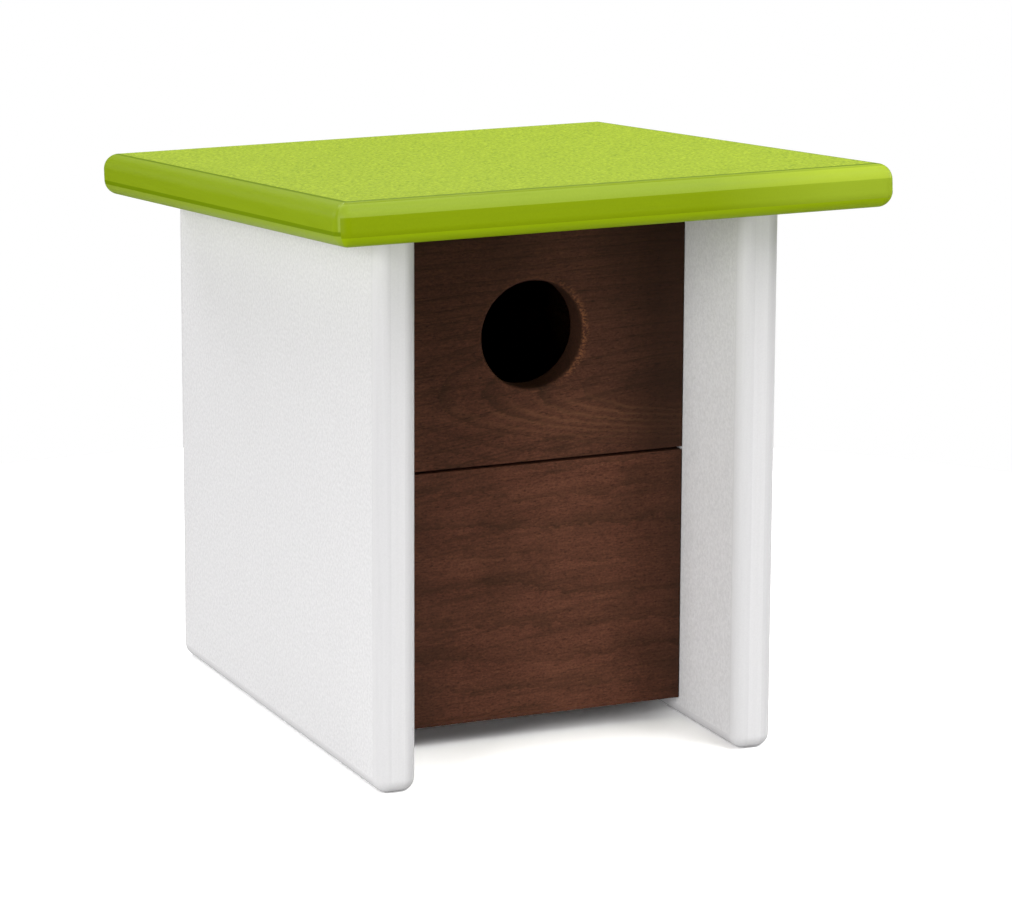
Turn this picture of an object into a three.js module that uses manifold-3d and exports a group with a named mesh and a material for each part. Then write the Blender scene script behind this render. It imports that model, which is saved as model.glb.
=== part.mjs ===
// Birdhouse: a lime roof slab and two white side panels of plastic sheet around a nest box of dark wood.
// Millimetres, +Z up, the front with the entrance hole faces -Y, +X to the right seen from the front.
// The shop datum has x = 0 midway between the side panels, y = 0 at their front edges and z = 0 at their
// bottom edges; the last lines shift the whole assembly so that the origin is the bottom centre of its box.

import * as THREE from 'three';
import { mergeVertices } from 'three/addons/utils/BufferGeometryUtils.js';
import Module from 'manifold-3d';

const wasm = await Module();
wasm.setup();

// ---------------------------------------------------------------- driving dimensions

const SHEET = 19.05; // 3/4 inch plastic sheet: roof and side panels
const PANEL_ROUND = 6.35; // 1/4 inch round-over along the side panels' edges
const ROOF_ROUND = 7.1; // round-over along the roof's edges
const SHEET_CORNER = 6.35; // corners in the outline of the roof and of the side panels
const SHARP_CORNER = 0.4; // least corner radius where a round-over has taken the corner away
const BOARD = 12.7; // 1/2 inch wood boards
const BOARD_LENGTH = 152.4; // 6 inch boards between the side panels
const SIDE_PLAY = 0.375; // between a board's end and a side panel
const GAP = 0.35; // between two pieces that touch

const PANEL_DEPTH = 250;
const FRONT_HEIGHT = 247.15; // underside of the roof above the panels' front edges
const ROOF_SLOPE = THREE.MathUtils.degToRad(5); // falls towards the back
const ROOF_SIDE_OVERHANG = 34.2;
const ROOF_FRONT_OVERHANG = 42.66; // along the slope
const ROOF_BACK_OVERHANG = 8.31; // along the slope

const FRONT_SETBACK = 57.5; // front boards behind the panels' front edges
const BACK_INSET = 7; // back boards ahead of the panels' back edges
const BOARDS_BOTTOM = 10.2; // finger gap under the door and the back board
const SEAM_HEIGHT = 127.5; // joint between lower and upper boards
const DOOR_SEAM = 1.3; // open seam above the door
const DOOR_PLAY = 0.5; // between the door's ends and the side panels
const FLOOR_RISE = 6.35; // floor underside above the boards' bottom edges
const BACK_VENT = 6; // air slot between the back board and the roof

const HOLE_RADIUS = 24.24;
const HOLE_HEIGHT = 185.55;
const HOLE_OFFSET = 2; // to the right of the middle
const HOLE_EASE = 1.6; // rounded front rim

const KERF_WIDTH = 2; // toe-hold grooves inside, under the hole
const KERF_BELOW_HOLE = 8;
const KERF_DEPTH = 1.8;
const KERF_LENGTH = 64;
const KERF_PITCH = 5.5;
const KERF_COUNT = 4;

const PIVOT_BELOW_TOP = 22; // door pins under the door's top edge
const PIVOT_RADIUS = 2.5;
const PIVOT_LENGTH = 30;
const PIVOT_IN_DOOR = 18;
const RUNNING_GAP = 0.15; // pins in their bores
const DOOR_SWING_ROOM = 17.5; // lower wall boards stand this far behind the door

const LOCK_RADIUS = 2.5;
const LOCK_TRAVEL = 10;
const LOCK_HEIGHT = 33;
const LOCK_TIP_BACK = 1; // parked tip inside the panel
const KNOB_RADIUS = 7;
const KNOB_LENGTH = 8;
const KNOB_END = 2; // closed end of the knob beyond its bore
const RING_TUBE = 0.9; // rubber ring that grips the lock pin
const RING_RADIUS = 3.5;

const CLEAT = 19.05; // square roof cleats
const CLEAT_START = 75; // along the slope
const CLEAT_END = 222;
const CLEAT_SCREWS = [120, 185]; // along the slope
const CLEAT_SCREW_LENGTH = 44;
const ROOF_SCREWS = [100, 200]; // along the slope
const ROOF_SCREW_LENGTH = 32;

const DOWEL_RADIUS = 3;
const DOWEL_LENGTH = 30;
const DOWEL_IN_FRONT = 8;
const DOWEL_HEIGHTS = [149, 217];

const UPPER_WALL_SCREWS = [[100, 148], [190, 148]]; // depth and height of each
const LOWER_WALL_SCREWS = [[105, 108], [195, 48]];
const WALL_SCREW_LENGTH = 24;
const FLOOR_SCREWS = [105, 190]; // depths
const FLOOR_SCREW_LENGTH = 32;
const BACK_SCREWS = [35, 111, 145, 205]; // heights
const BACK_SCREW_LENGTH = 36;

const DRAIN_RADIUS = 4;
const DRAIN_SIDE = 45; // from the middle
const DRAIN_FRONT = 20; // behind the lower wall boards' front ends
const DRAIN_BACK = 22; // ahead of the back board

const PLATE_WIDTH = 64; // keyhole hanger plate
const PLATE_HEIGHT = 24;
const PLATE_THICKNESS = 2;
const PLATE_CORNER = 4;
const PLATE_CENTRE = 195;
const PLATE_SCREW_INSET = 8;
const PLATE_SCREW_LENGTH = 12;
const KEYHOLE_RADIUS = 5;
const KEYSLOT_RADIUS = 2.6;
const KEYSLOT_RISE = 9;
const KEYHOLE_DROP = 4; // keyhole centre below the plate's centre
const POCKET_MARGIN = 1.5; // round the keyhole, in the back board
const POCKET_DEPTH = 6;

const SCREW = {
  shank: 2, // radii of the shank, the head and the socket
  head: 4,
  socket: 1.5,
  headDepth: 2.4,
  rim: 0.3,
  point: 4,
  socketDepth: 1.4,
  sides: 10,
};

const OVERCUT = 1; // cutters pass a surface by this much

// ---------------------------------------------------------------- derived places

const innerHalf = BOARD_LENGTH / 2 + SIDE_PLAY; // side panel inner face
const outerHalf = innerHalf + SHEET;
const boardHalf = BOARD_LENGTH / 2;
const wallInner = boardHalf - BOARD; // inner face of a wall board
const wallMiddle = boardHalf - BOARD / 2;
const frontInner = FRONT_SETBACK + BOARD; // inner face of the front boards
const frontMiddle = FRONT_SETBACK + BOARD / 2;
const backOuter = PANEL_DEPTH - BACK_INSET;
const backInner = backOuter - BOARD;
const floorBottom = BOARDS_BOTTOM + FLOOR_RISE;
const floorTop = floorBottom + BOARD;
const doorTop = SEAM_HEIGHT - DOOR_SEAM / 2;
const doorHalf = innerHalf - DOOR_PLAY;
const pivotHeight = doorTop - PIVOT_BELOW_TOP;
const lowerWallFront = frontInner + DOOR_SWING_ROOM;
const upperBottom = SEAM_HEIGHT + GAP / 2;
const lowerTop = SEAM_HEIGHT - GAP / 2;
const slopeFall = Math.tan(ROOF_SLOPE);
const roofUnderside = (y) => FRONT_HEIGHT - y * slopeFall;
const underRoof = (y) => roofUnderside(y) - GAP / Math.cos(ROOF_SLOPE);

// The roof's own frame: its origin is the corner where the roof's underside meets the panels' front edges,
// +Y runs down the slope and +Z is square to the sheet.
const roofFrame = new THREE.Matrix4().makeRotationX(-ROOF_SLOPE).setPosition(0, 0, FRONT_HEIGHT);
const onRoof = (x, along, up) => new THREE.Vector3(x, along, up).applyMatrix4(roofFrame);

const roofStart = -ROOF_FRONT_OVERHANG;
const roofEnd = PANEL_DEPTH / Math.cos(ROOF_SLOPE) + ROOF_BACK_OVERHANG;
const roofHalf = outerHalf + ROOF_SIDE_OVERHANG;
const roofFrontMost = onRoof(0, roofStart + ROOF_ROUND, ROOF_ROUND).y - ROOF_ROUND;
const roofBackMost = onRoof(0, roofEnd - ROOF_ROUND, SHEET - ROOF_ROUND).y + ROOF_ROUND;
const originDepth = (roofFrontMost + roofBackMost) / 2;
const keyholeHeight = PLATE_CENTRE - KEYHOLE_DROP;

// ---------------------------------------------------------------- materials

function finish(color, roughness, metalness) {
  return new THREE.MeshStandardMaterial({ color, roughness, metalness });
}

const limePlastic = () => finish(0x9dbb2a, 0.5, 0);
const whitePlastic = () => finish(0xe6e6e8, 0.55, 0);
const darkWood = () => finish(0x4a2d22, 0.75, 0);
const paleWood = () => finish(0xb98d5c, 0.8, 0);
const stainless = () => finish(0xb8babd, 0.35, 1);
const rubber = () => finish(0x1c1c1c, 0.9, 0);

// ---------------------------------------------------------------- solids: joining and cutting

function toSolid(geometry) {
  const bare = geometry.clone();
  bare.deleteAttribute('normal');
  bare.deleteAttribute('uv');
  const merged = mergeVertices(bare, 1e-4);
  const index = merged.index.array;
  const triangles = [];
  for (let i = 0; i < index.length; i += 3) {
    const [a, b, c] = [index[i], index[i + 1], index[i + 2]];
    if (a !== b && b !== c && c !== a) {
      triangles.push(a, b, c);
    }
  }
  const mesh = new wasm.Mesh({
    numProp: 3,
    vertProperties: new Float32Array(merged.attributes.position.array),
    triVerts: new Uint32Array(triangles),
  });
  return new wasm.Manifold(mesh);
}

function toGeometry(solid) {
  const mesh = solid.getMesh();
  const geometry = new THREE.BufferGeometry();
  geometry.setAttribute('position', new THREE.BufferAttribute(new Float32Array(mesh.vertProperties), 3));
  geometry.setIndex(new THREE.BufferAttribute(new Uint32Array(mesh.triVerts), 1));
  geometry.computeVertexNormals();
  return geometry;
}

function cut(geometry, tools) {
  let solid = toSolid(geometry);
  for (const tool of tools) {
    solid = solid.subtract(toSolid(tool));
  }
  return toGeometry(solid);
}

// ---------------------------------------------------------------- basic shapes

function block(x0, x1, y0, y1, z0, z1) {
  const geometry = new THREE.BoxGeometry(x1 - x0, y1 - y0, z1 - z0);
  return geometry.translate((x0 + x1) / 2, (y0 + y1) / 2, (z0 + z1) / 2);
}

// A board with a sloping top edge that follows the roof.
function boardUnderRoof(x0, x1, y0, y1, z0) {
  const geometry = block(x0, x1, y0, y1, z0, FRONT_HEIGHT);
  const points = geometry.attributes.position;
  for (let i = 0; i < points.count; i += 1) {
    if (points.getZ(i) > (z0 + FRONT_HEIGHT) / 2) {
      points.setZ(i, underRoof(points.getY(i)));
    }
  }
  return geometry;
}

// A matrix that takes +Y to the direction given and the origin to the place given.
function along(direction, place) {
  const turn = new THREE.Quaternion().setFromUnitVectors(new THREE.Vector3(0, 1, 0), direction);
  return new THREE.Matrix4().compose(place, turn, new THREE.Vector3(1, 1, 1));
}

// A round bar from a place, running the given length along a direction.
function bar(radius, length, place, direction, sides = 16) {
  const geometry = new THREE.CylinderGeometry(radius, radius, length, sides);
  geometry.translate(0, length / 2, 0);
  return geometry.applyMatrix4(along(direction, place));
}

const RIGHT = new THREE.Vector3(1, 0, 0);
const LEFT = new THREE.Vector3(-1, 0, 0);
const BACKWARD = new THREE.Vector3(0, 1, 0);
const FORWARD = new THREE.Vector3(0, -1, 0);
const UP = new THREE.Vector3(0, 0, 1);
const ROOF_UP = new THREE.Vector3(0, Math.sin(ROOF_SLOPE), Math.cos(ROOF_SLOPE));
const SIDES = [
  { name: 'left', sign: -1, outward: LEFT, inward: RIGHT },
  { name: 'right', sign: 1, outward: RIGHT, inward: LEFT },
];

const at = (x, y, z) => new THREE.Vector3(x, y, z);

// ---------------------------------------------------------------- screws

// Every screw: its head lies at a place and it is driven along a direction.
const screws = [];
function addScrew(name, place, direction, length) {
  screws.push({ name, place, direction, length });
}

for (const side of SIDES) {
  const cleatFace = side.sign * (wallInner - GAP - CLEAT);
  CLEAT_SCREWS.forEach((run, i) => {
    const place = onRoof(cleatFace, run, -GAP - CLEAT / 2);
    addScrew(`${side.name}_cleat_screw_${i + 1}`, place, side.outward, CLEAT_SCREW_LENGTH);
  });
  UPPER_WALL_SCREWS.forEach(([y, z], i) => {
    const place = at(side.sign * wallInner, y, z);
    addScrew(`${side.name}_upper_wall_screw_${i + 1}`, place, side.outward, WALL_SCREW_LENGTH);
  });
  LOWER_WALL_SCREWS.forEach(([y, z], i) => {
    const place = at(side.sign * wallInner, y, z);
    addScrew(`${side.name}_lower_wall_screw_${i + 1}`, place, side.outward, WALL_SCREW_LENGTH);
  });
  FLOOR_SCREWS.forEach((y, i) => {
    const place = at(side.sign * boardHalf, y, (floorBottom + floorTop) / 2);
    addScrew(`${side.name}_floor_screw_${i + 1}`, place, side.inward, FLOOR_SCREW_LENGTH);
  });
  BACK_SCREWS.forEach((z, i) => {
    const place = at(side.sign * wallMiddle, backOuter, z);
    addScrew(`${side.name}_back_screw_${i + 1}`, place, FORWARD, BACK_SCREW_LENGTH);
  });
  ROOF_SCREWS.forEach((run, i) => {
    const place = onRoof(side.sign * (wallInner - GAP - CLEAT / 2), run, -GAP - CLEAT);
    addScrew(`${side.name}_roof_screw_${i + 1}`, place, ROOF_UP, ROOF_SCREW_LENGTH);
  });
  const plateFace = backOuter + GAP + PLATE_THICKNESS;
  const platePlace = at(side.sign * (PLATE_WIDTH / 2 - PLATE_SCREW_INSET), plateFace, PLATE_CENTRE);
  addScrew(`${side.name}_hanger_screw`, platePlace, FORWARD, PLATE_SCREW_LENGTH);
}

// A countersunk screw along +Y, its head at the origin, with a six-sided socket.
function screwShape(length) {
  const { shank, head, headDepth, rim, point, socket, socketDepth, sides } = SCREW;
  const outline = [
    new THREE.Vector2(0, 0),
    new THREE.Vector2(head, 0),
    new THREE.Vector2(head, rim),
    new THREE.Vector2(shank, headDepth),
    new THREE.Vector2(shank, length - point),
    new THREE.Vector2(0, length),
  ].reverse();
  const body = new THREE.LatheGeometry(outline, sides);
  const key = new THREE.CylinderGeometry(socket, socket, 2 * socketDepth, 6);
  return cut(orient(body), [key]);
}

// Turns a lathed surface the right way out if it came inside out.
function orient(geometry) {
  return toSolid(geometry).volume() > 0 ? geometry : flip(geometry);
}

function flip(geometry) {
  const index = geometry.index.array;
  for (let i = 0; i < index.length; i += 3) {
    const first = index[i];
    index[i] = index[i + 1];
    index[i + 1] = first;
  }
  return geometry;
}

// The room that a screw takes in the pieces it passes, with the gap all round.
function screwRoom({ place, direction, length }) {
  const { shank, head, headDepth, rim, sides } = SCREW;
  const outline = [
    new THREE.Vector2(0, -OVERCUT),
    new THREE.Vector2(head + GAP, -OVERCUT),
    new THREE.Vector2(head + GAP, rim + GAP),
    new THREE.Vector2(shank + GAP, headDepth + GAP),
    new THREE.Vector2(shank + GAP, length + GAP),
    new THREE.Vector2(0, length + GAP),
  ].reverse();
  return orient(new THREE.LatheGeometry(outline, sides)).applyMatrix4(along(direction, place));
}

const allScrewRoom = screws.map(screwRoom);

// ---------------------------------------------------------------- assembly

const birdhouse = new THREE.Group();
const house = new THREE.Group();
const door = new THREE.Group();
const lock = new THREE.Group();
birdhouse.add(house, door, lock);

function piece(parent, name, geometry, material) {
  const mesh = new THREE.Mesh(geometry, material);
  mesh.name = name;
  parent.add(mesh);
  return mesh;
}

// ---------------------------------------------------------------- bores and dowel holes

const pivotPlace = (side) => at(side.sign * (doorHalf - PIVOT_IN_DOOR), frontMiddle, pivotHeight);
const lockPlace = at(innerHalf + LOCK_TIP_BACK, frontMiddle, LOCK_HEIGHT);
const dowelPlace = (side, z) => at(side.sign * wallMiddle, frontInner - DOWEL_IN_FRONT, z);

function pivotBore(side) {
  const start = pivotPlace(side).addScaledVector(side.outward, -RUNNING_GAP * 2);
  return bar(PIVOT_RADIUS + RUNNING_GAP, PIVOT_LENGTH + RUNNING_GAP * 4, start, side.outward);
}

function lockBore() {
  const start = at(innerHalf - LOCK_TRAVEL - 2 * GAP, frontMiddle, LOCK_HEIGHT);
  return bar(LOCK_RADIUS + GAP, outerHalf + OVERCUT - start.x, start, RIGHT);
}

// The ring's seat opens at the right panel's outer face.
function lockRingSeat() {
  const depth = 2 * RING_TUBE + 2 * GAP;
  const start = at(outerHalf - depth, frontMiddle, LOCK_HEIGHT);
  return bar(RING_RADIUS + RING_TUBE + GAP, depth + OVERCUT, start, RIGHT);
}

function dowelBore(side, z) {
  const start = dowelPlace(side, z).addScaledVector(FORWARD, GAP);
  return bar(DOWEL_RADIUS + RUNNING_GAP, DOWEL_LENGTH + 2 * GAP, start, BACKWARD, 10);
}

const dowelBores = SIDES.flatMap((side) => DOWEL_HEIGHTS.map((z) => dowelBore(side, z)));

// ---------------------------------------------------------------- plastic sheet pieces

// A rounded rectangle as a shape: half sizes and corner radius.
function roundedRectangle(halfX, halfY, radius) {
  const shape = new THREE.Shape();
  shape.absarc(halfX - radius, halfY - radius, radius, 0, Math.PI / 2);
  shape.absarc(-halfX + radius, halfY - radius, radius, Math.PI / 2, Math.PI);
  shape.absarc(-halfX + radius, -halfY + radius, radius, Math.PI, 1.5 * Math.PI);
  shape.absarc(halfX - radius, -halfY + radius, radius, 1.5 * Math.PI, 2 * Math.PI);
  shape.closePath();
  return shape;
}

// Rings of points joined into a closed skin, with a fan over the first and the last ring.
function loft(rings) {
  const count = rings[0].length;
  const points = rings.flat();
  const index = [];
  for (let ring = 0; ring + 1 < rings.length; ring += 1) {
    for (let i = 0; i < count; i += 1) {
      const a = ring * count + i;
      const b = ring * count + ((i + 1) % count);
      index.push(a, b, b + count, a, b + count, a + count);
    }
  }
  const top = (rings.length - 1) * count;
  for (let i = 1; i + 1 < count; i += 1) {
    index.push(0, i + 1, i);
    index.push(top, top + i, top + i + 1);
  }
  const geometry = new THREE.BufferGeometry().setFromPoints(points);
  geometry.setIndex(index);
  return geometry;
}

// A slab with its edges rounded over on both faces, centred in plan, its underside at z = 0.
function roundedSlab(halfX, halfY, round) {
  const steps = 5;
  const lower = [];
  for (let i = 0; i <= steps; i += 1) {
    const angle = (i / steps) * (Math.PI / 2);
    lower.push({ inset: round * (1 - Math.sin(angle)), height: round * (1 - Math.cos(angle)) });
  }
  const upper = lower.map(({ inset, height }) => ({ inset, height: SHEET - height })).reverse();
  const rings = [...lower, ...upper].map(({ inset, height }) => {
    const corner = Math.max(SHEET_CORNER - inset, SHARP_CORNER);
    const outline = roundedRectangle(halfX - inset, halfY - inset, corner);
    const ring = outline.extractPoints(3).shape;
    if (ring[0].distanceTo(ring[ring.length - 1]) < 1e-6) {
      ring.pop();
    }
    return ring.map((p) => new THREE.Vector3(p.x, p.y, height));
  });
  return loft(rings);
}

function roofPanel() {
  const slab = roundedSlab(roofHalf, (roofEnd - roofStart) / 2, ROOF_ROUND);
  slab.translate(0, (roofStart + roofEnd) / 2, 0).applyMatrix4(roofFrame);
  return cut(slab, allScrewRoom);
}

// Everything above the gap under the roof.
function roofRoom() {
  const half = PANEL_DEPTH;
  return block(-half, half, -half, 2 * half, -GAP, half).applyMatrix4(roofFrame);
}

// A side panel stands on edge. All its edges are rounded over but the top one, sawn to the roof's slope.
function sidePanel(side) {
  const tall = FRONT_HEIGHT + SHEET;
  const slab = roundedSlab(PANEL_DEPTH / 2, tall / 2, PANEL_ROUND);
  const onEdge = new THREE.Matrix4().makeBasis(BACKWARD, UP, RIGHT);
  const start = side.sign > 0 ? innerHalf : -outerHalf;
  slab.applyMatrix4(onEdge).translate(start, PANEL_DEPTH / 2, tall / 2);
  const tools = [roofRoom(), ...allScrewRoom, pivotBore(side)];
  if (side.sign > 0) {
    tools.push(lockBore(), lockRingSeat());
  }
  return cut(slab, tools);
}

piece(house, 'roof_panel', roofPanel(), limePlastic());
for (const side of SIDES) {
  piece(house, `${side.name}_side_panel`, sidePanel(side), whitePlastic());
}

// ---------------------------------------------------------------- front boards

// The cutter for the entrance hole: a round bore whose rim flares out in a quarter round at the front face.
function holeCutter() {
  const back = BOARD + OVERCUT;
  const outline = [new THREE.Vector2(0, back), new THREE.Vector2(HOLE_RADIUS, back)];
  const steps = 3;
  for (let i = 0; i <= steps; i += 1) {
    const angle = (i / steps) * (Math.PI / 2);
    const radius = HOLE_RADIUS + HOLE_EASE * (1 - Math.cos(angle));
    outline.push(new THREE.Vector2(radius, HOLE_EASE * (1 - Math.sin(angle))));
  }
  outline.push(new THREE.Vector2(HOLE_RADIUS + HOLE_EASE, -OVERCUT), new THREE.Vector2(0, -OVERCUT));
  const cutter = orient(new THREE.LatheGeometry(outline, 40));
  return cutter.translate(HOLE_OFFSET, FRONT_SETBACK, HOLE_HEIGHT);
}

function kerf(i) {
  const z = HOLE_HEIGHT - HOLE_RADIUS - KERF_BELOW_HOLE - i * KERF_PITCH;
  const x0 = HOLE_OFFSET - KERF_LENGTH / 2;
  return block(x0, x0 + KERF_LENGTH, frontInner - KERF_DEPTH, frontInner + OVERCUT, z - KERF_WIDTH, z);
}

function frontUpperBoard() {
  const bottom = SEAM_HEIGHT + DOOR_SEAM / 2;
  const blank = boardUnderRoof(-boardHalf, boardHalf, FRONT_SETBACK, frontInner, bottom);
  const kerfs = Array.from({ length: KERF_COUNT }, (_, i) => kerf(i));
  return cut(blank, [holeCutter(), ...kerfs, ...dowelBores]);
}

function cleanOutDoor() {
  const blank = block(-doorHalf, doorHalf, FRONT_SETBACK, frontInner, BOARDS_BOTTOM, doorTop);
  return cut(blank, [...SIDES.map(pivotBore), lockBore()]);
}

piece(house, 'front_upper_board', frontUpperBoard(), darkWood());
piece(door, 'clean_out_door', cleanOutDoor(), darkWood());
for (const side of SIDES) {
  const pin = bar(PIVOT_RADIUS, PIVOT_LENGTH, pivotPlace(side), side.outward);
  piece(door, `${side.name}_pivot_pin`, pin, stainless());
}

// ---------------------------------------------------------------- wall, back and floor boards

for (const side of SIDES) {
  const [x0, x1] = [side.sign * wallInner, side.sign * boardHalf].sort((a, b) => a - b);
  const back = backInner - GAP;
  const upper = boardUnderRoof(x0, x1, frontInner + GAP, back, upperBottom);
  piece(house, `${side.name}_upper_wall_board`, cut(upper, [...allScrewRoom, ...dowelBores]), darkWood());
  const lower = block(x0, x1, lowerWallFront, back, floorBottom, lowerTop);
  piece(house, `${side.name}_lower_wall_board`, cut(lower, allScrewRoom), darkWood());
}

// Room behind the keyhole for the head of the wall screw.
function keyholePocket() {
  const half = KEYHOLE_RADIUS + POCKET_MARGIN;
  const high = keyholeHeight + KEYSLOT_RISE + half;
  return block(-half, half, backOuter - POCKET_DEPTH, backOuter + OVERCUT, keyholeHeight - half, high);
}

const backTop = roofUnderside(backOuter) - BACK_VENT;
const upperBack = block(-boardHalf, boardHalf, backInner, backOuter, upperBottom, backTop);
const lowerBack = block(-boardHalf, boardHalf, backInner, backOuter, BOARDS_BOTTOM, lowerTop);
piece(house, 'upper_back_board', cut(upperBack, [...allScrewRoom, keyholePocket()]), darkWood());
piece(house, 'lower_back_board', cut(lowerBack, allScrewRoom), darkWood());

// The floor is wider at the front, where it runs from panel to panel and stops the door.
function floorBoard() {
  const shoulder = lowerWallFront - GAP;
  const narrow = wallInner - GAP;
  const outline = new THREE.Shape([
    new THREE.Vector2(-boardHalf, frontInner + GAP),
    new THREE.Vector2(boardHalf, frontInner + GAP),
    new THREE.Vector2(boardHalf, shoulder),
    new THREE.Vector2(narrow, shoulder),
    new THREE.Vector2(narrow, backInner - GAP),
    new THREE.Vector2(-narrow, backInner - GAP),
    new THREE.Vector2(-narrow, shoulder),
    new THREE.Vector2(-boardHalf, shoulder),
  ]);
  const board = new THREE.ExtrudeGeometry(outline, { depth: BOARD, bevelEnabled: false });
  board.translate(0, 0, floorBottom);
  const drains = [];
  for (const x of [-DRAIN_SIDE, DRAIN_SIDE]) {
    for (const y of [lowerWallFront + DRAIN_FRONT, backInner - DRAIN_BACK]) {
      drains.push(bar(DRAIN_RADIUS, BOARD + 2 * OVERCUT, at(x, y, floorBottom - OVERCUT), UP, 12));
    }
  }
  return cut(board, [...allScrewRoom, ...drains]);
}

piece(house, 'floor_board', floorBoard(), darkWood());

// ---------------------------------------------------------------- cleats, dowels, screws

for (const side of SIDES) {
  const outer = wallInner - GAP;
  const [x0, x1] = [side.sign * outer, side.sign * (outer - CLEAT)].sort((a, b) => a - b);
  const blank = block(x0, x1, CLEAT_START, CLEAT_END, -GAP - CLEAT, -GAP).applyMatrix4(roofFrame);
  piece(house, `${side.name}_roof_cleat`, cut(blank, allScrewRoom), darkWood());
  DOWEL_HEIGHTS.forEach((z, i) => {
    const dowel = bar(DOWEL_RADIUS, DOWEL_LENGTH, dowelPlace(side, z), BACKWARD, 10);
    piece(house, `${side.name}_front_dowel_${i + 1}`, dowel, paleWood());
  });
}

for (const { name, place, direction, length } of screws) {
  const screw = piece(house, name, screwShape(length), stainless());
  screw.applyMatrix4(along(direction, place));
}

// ---------------------------------------------------------------- keyhole hanger plate

function hangerPlate() {
  const face = backOuter + GAP;
  const outline = roundedRectangle(PLATE_WIDTH / 2, PLATE_HEIGHT / 2, PLATE_CORNER);
  const blank = new THREE.ExtrudeGeometry(outline, {
    depth: PLATE_THICKNESS,
    bevelEnabled: false,
    curveSegments: 5,
  });
  blank.rotateX(Math.PI / 2).translate(0, face + PLATE_THICKNESS, PLATE_CENTRE);
  const [start, end] = [face - OVERCUT, face + PLATE_THICKNESS + OVERCUT];
  const slotTop = keyholeHeight + KEYSLOT_RISE;
  const entry = bar(KEYHOLE_RADIUS, end - start, at(0, start, keyholeHeight), BACKWARD);
  const slotEnd = bar(KEYSLOT_RADIUS, end - start, at(0, start, slotTop), BACKWARD);
  const slot = block(-KEYSLOT_RADIUS, KEYSLOT_RADIUS, start, end, keyholeHeight, slotTop);
  return cut(blank, [entry, slotEnd, slot, ...allScrewRoom]);
}

piece(house, 'keyhole_hanger_plate', hangerPlate(), stainless());

// ---------------------------------------------------------------- door lock

// The pin slides through the right panel; pushed home, its tip enters the door's end.
const knobStart = outerHalf + LOCK_TRAVEL + GAP;
const lockPin = bar(LOCK_RADIUS, knobStart + KNOB_LENGTH - KNOB_END - lockPlace.x, lockPlace, RIGHT);
piece(lock, 'lock_pin', lockPin, stainless());

function lockKnob() {
  const blank = bar(KNOB_RADIUS, KNOB_LENGTH, at(knobStart, frontMiddle, LOCK_HEIGHT), RIGHT, 24);
  const length = KNOB_LENGTH - KNOB_END + GAP + OVERCUT;
  const start = at(knobStart - OVERCUT, frontMiddle, LOCK_HEIGHT);
  const bore = bar(LOCK_RADIUS + RUNNING_GAP, length, start, RIGHT);
  return cut(blank, [bore]);
}

piece(lock, 'lock_knob', lockKnob(), stainless());

function lockRing() {
  const tube = [];
  const steps = 8;
  for (let i = 0; i <= steps; i += 1) {
    const angle = (i / steps) * 2 * Math.PI;
    tube.push(new THREE.Vector2(RING_RADIUS + RING_TUBE * Math.cos(angle), RING_TUBE * Math.sin(angle)));
  }
  const ring = orient(new THREE.LatheGeometry(tube, 16));
  const middle = outerHalf - RING_TUBE - GAP;
  return ring.applyMatrix4(along(RIGHT, at(middle, frontMiddle, LOCK_HEIGHT)));
}

piece(house, 'lock_pin_ring', lockRing(), rubber());

// ---------------------------------------------------------------- origin at the bottom centre

birdhouse.position.set(0, -originDepth, 0);

export default birdhouse;
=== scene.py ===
"""Birdhouse: lime slab roof and white side panels of stippled plastic sheet round a nest box of dark wood.

Metres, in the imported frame: +Z up, the front with the entrance hole faces -Y, +X is to the right seen
from the front.
"""

import math

import bmesh
import bpy
import numpy as np
from mathutils import Matrix, Vector


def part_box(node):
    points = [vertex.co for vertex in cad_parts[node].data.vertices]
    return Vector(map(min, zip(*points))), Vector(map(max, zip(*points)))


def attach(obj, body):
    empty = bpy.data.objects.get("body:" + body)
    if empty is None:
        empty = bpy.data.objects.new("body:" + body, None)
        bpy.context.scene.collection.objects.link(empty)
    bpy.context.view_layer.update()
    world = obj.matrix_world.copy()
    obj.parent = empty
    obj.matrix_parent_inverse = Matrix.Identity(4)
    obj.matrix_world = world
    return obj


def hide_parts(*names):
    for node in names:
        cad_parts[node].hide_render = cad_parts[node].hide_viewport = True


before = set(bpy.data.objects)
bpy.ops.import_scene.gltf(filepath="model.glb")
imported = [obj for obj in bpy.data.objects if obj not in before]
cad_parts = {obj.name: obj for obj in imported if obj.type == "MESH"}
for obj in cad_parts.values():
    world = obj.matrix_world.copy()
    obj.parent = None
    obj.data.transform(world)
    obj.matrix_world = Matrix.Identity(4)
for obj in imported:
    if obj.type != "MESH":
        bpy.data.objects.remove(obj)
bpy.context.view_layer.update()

MM = 0.001

# ---------------------------------------------------- sizes that the boxes of the CAD nodes don't give

ROOF_SLOPE = math.radians(5)
SHEET = 19.05 * MM
PANEL_ROUND = 6.35 * MM
ROOF_ROUND = 7.1 * MM
SHEET_CORNER = 6.35 * MM
BOARD_EASE = 0.22 * MM
HOLE_CENTRE = Vector((2 * MM, 0, 185.55 * MM))
HOLE_RADIUS = 24.24 * MM
HOLE_EASE = 1.6 * MM
LINER_EASE = 0.35 * MM
DOWEL_EASE = 0.4 * MM
PLATE_EASE = 0.25 * MM
PIVOT_RADIUS = 2.5 * MM
PIVOT_ROOM = 2.65 * MM
PIVOT_BORE_LENGTH = 13 * MM
LOCK_RADIUS = 2.5 * MM
LOCK_ROOM = 2.85 * MM
RING_SEAT_DEPTH = 5 * MM
KERF_COUNT = 4
KERF_STEP = 5.5 * MM
KERF_BELOW_HOLE = 8 * MM
KERF_WIDTH = 2 * MM
KERF_DEPTH = 1.8 * MM
KERF_HALF_LENGTH = 32 * MM
ROUND_STEPS = 12
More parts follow.
